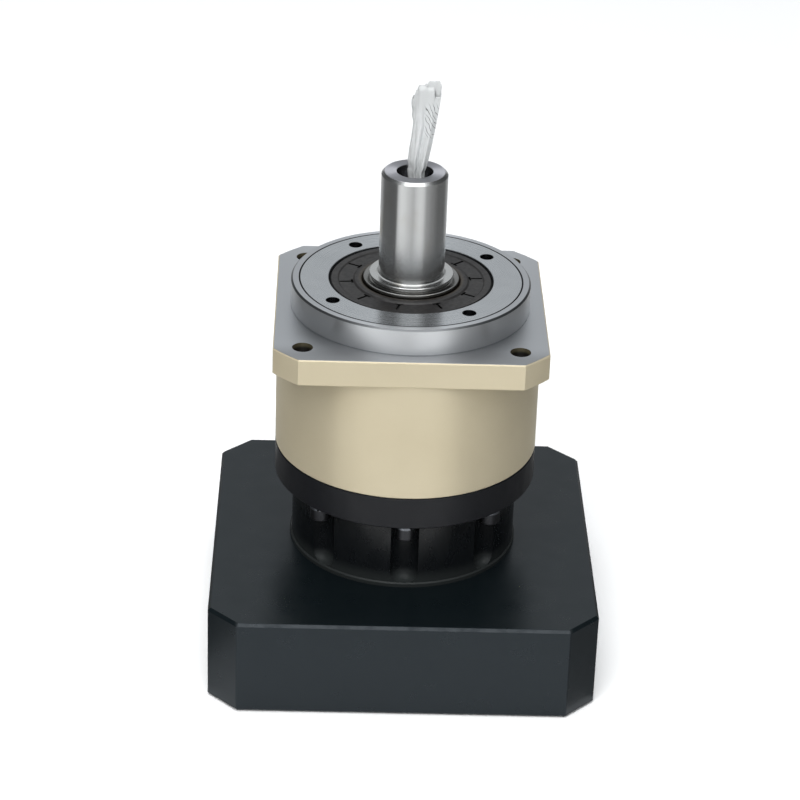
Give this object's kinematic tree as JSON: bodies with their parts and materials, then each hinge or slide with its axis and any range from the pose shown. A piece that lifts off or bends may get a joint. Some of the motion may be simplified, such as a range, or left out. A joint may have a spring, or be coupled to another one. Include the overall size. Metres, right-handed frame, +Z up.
{
  "type": "planetary gearbox",
  "caption": "Coaxial planetary gearbox with a square output flange, round pilot, plain output shaft and a square motor adapter plate.",
  "frame": {"origin": "centre of the motor adapter plate's underside, on the shaft axis", "axes": "+Z up the output shaft, +X and +Y square to the adapter plate's sides; the clamp screw's access hole faces +Y"},
  "size_m": [0.13, 0.13, 0.2004],
  "materials": {
    "champagne_coat": "satin champagne coat, bare ground steel on the top face, pilot and bores",
    "ground_steel": "fine ground",
    "bright_steel": "polished ground, shaft",
    "black_anodised": "matte black anodised",
    "black_gloss": "smooth black anodised",
    "seal_rubber": "matte moulded",
    "black_rubber": "matte",
    "bearing_steel": "polished",
    "gear_steel": "ground tooth flanks",
    "spring_steel": "oiled blue-grey",
    "screw_steel": "dark oxide",
    "washer_bronze": "plain bronze",
    "cage_steel": "pressed sheet",
    "plug_plastic": "matte",
    "packing_film": "white translucent film"
  },
  "bodies": {
    "casing": {"gear_housing": "champagne_coat", "front_retaining_ring": "ground_steel", "output_seal": "seal_rubber", "output_seal_spring": "spring_steel", "front_bearing_outer_ring": "bearing_steel", "rear_bearing_outer_ring": "bearing_steel", "housing_o_ring": "black_rubber", "input_housing": "black_gloss", "housing_screws": "screw_steel", "housing_spring_washers": "spring_steel", "input_bearing_outer_ring": "bearing_steel", "input_bore_circlip": "spring_steel", "input_seal": "seal_rubber", "input_seal_spring": "spring_steel", "motor_adapter_plate": "black_anodised", "adapter_screws": "screw_steel", "access_plug": "plug_plastic"},
    "output_shaft": {"output_shaft_carrier": "bright_steel", "front_bearing_inner_ring": "bearing_steel", "rear_bearing_inner_ring": "bearing_steel", "front_bearing_circlip": "spring_steel", "planet_thrust_washers": "washer_bronze", "planet_pin_1": "bearing_steel", "planet_pin_2": "bearing_steel", "planet_pin_3": "bearing_steel"},
    "input_shaft": {"input_sun_shaft": "gear_steel", "clamp_collar": "ground_steel", "clamp_screw": "screw_steel", "input_bearing_inner_ring": "bearing_steel", "input_shaft_circlip": "spring_steel"},
    "film_twist": {"packing_twist": "packing_film"},
    "planet_1": {"planet_gear_1": "gear_steel"},
    "needles_1": {"planet_needles_1": "bearing_steel"},
    "planet_2": {"planet_gear_2": "gear_steel"},
    "needles_2": {"planet_needles_2": "bearing_steel"},
    "planet_3": {"planet_gear_3": "gear_steel"},
    "needles_3": {"planet_needles_3": "bearing_steel"},
    "front_cage": {"front_bearing_balls": "bearing_steel", "front_bearing_cage": "cage_steel"},
    "rear_cage": {"rear_bearing_balls": "bearing_steel", "rear_bearing_cage": "cage_steel"},
    "input_cage": {"input_bearing_balls": "bearing_steel", "input_bearing_cage": "cage_steel"}
  },
  "joints": [
    {"name": "output_spin", "type": "hinge", "parent": "casing", "child": "output_shaft", "pos_m": [0, 0, 0], "axis": [0, 0, 1], "continuous": true},
    {"name": "input_spin", "type": "hinge", "parent": "casing", "child": "input_shaft", "pos_m": [0, 0, 0], "axis": [0, 0, 1], "continuous": true},
    {"name": "planet_1_spin", "type": "hinge", "parent": "output_shaft", "child": "planet_1", "pos_m": [0, 0.021, 0.0961], "axis": [0, 0, 1], "continuous": true},
    {"name": "planet_2_spin", "type": "hinge", "parent": "output_shaft", "child": "planet_2", "pos_m": [-0.01819, -0.0105, 0.0961], "axis": [0, 0, 1], "continuous": true},
    {"name": "planet_3_spin", "type": "hinge", "parent": "output_shaft", "child": "planet_3", "pos_m": [0.01819, -0.0105, 0.0961], "axis": [0, 0, 1], "continuous": true},
    {"name": "needles_1_spin", "type": "hinge", "parent": "output_shaft", "child": "needles_1", "pos_m": [0, 0.021, 0.0961], "axis": [0, 0, 1], "continuous": true},
    {"name": "needles_2_spin", "type": "hinge", "parent": "output_shaft", "child": "needles_2", "pos_m": [-0.01819, -0.0105, 0.0961], "axis": [0, 0, 1], "continuous": true},
    {"name": "needles_3_spin", "type": "hinge", "parent": "output_shaft", "child": "needles_3", "pos_m": [0.01819, -0.0105, 0.0961], "axis": [0, 0, 1], "continuous": true},
    {"name": "front_cage_spin", "type": "hinge", "parent": "casing", "child": "front_cage", "pos_m": [0, 0, 0.1151], "axis": [0, 0, 1], "continuous": true},
    {"name": "rear_cage_spin", "type": "hinge", "parent": "casing", "child": "rear_cage", "pos_m": [0, 0, 0.0786], "axis": [0, 0, 1], "continuous": true},
    {"name": "input_cage_spin", "type": "hinge", "parent": "casing", "child": "input_cage", "pos_m": [0, 0, 0.0615], "axis": [0, 0, 1], "continuous": true},
    {"name": "twist_pull", "type": "slide", "parent": "output_shaft", "child": "film_twist", "axis": [0, 0, 1], "range_m": [0, 0.04]}
  ],
  "couplings": [
    {"joint": "input_spin", "follows": "output_spin", "ratio": 4},
    {"joint": "planet_1_spin", "follows": "output_spin", "ratio": -3},
    {"joint": "planet_2_spin", "follows": "output_spin", "ratio": -3},
    {"joint": "planet_3_spin", "follows": "output_spin", "ratio": -3},
    {"joint": "needles_1_spin", "follows": "output_spin", "ratio": -1.8},
    {"joint": "needles_2_spin", "follows": "output_spin", "ratio": -1.8},
    {"joint": "needles_3_spin", "follows": "output_spin", "ratio": -1.8},
    {"joint": "front_cage_spin", "follows": "output_spin", "ratio": 0.42648},
    {"joint": "rear_cage_spin", "follows": "output_spin", "ratio": 0.44381},
    {"joint": "input_cage_spin", "follows": "output_spin", "ratio": 1.6638}
  ]
}
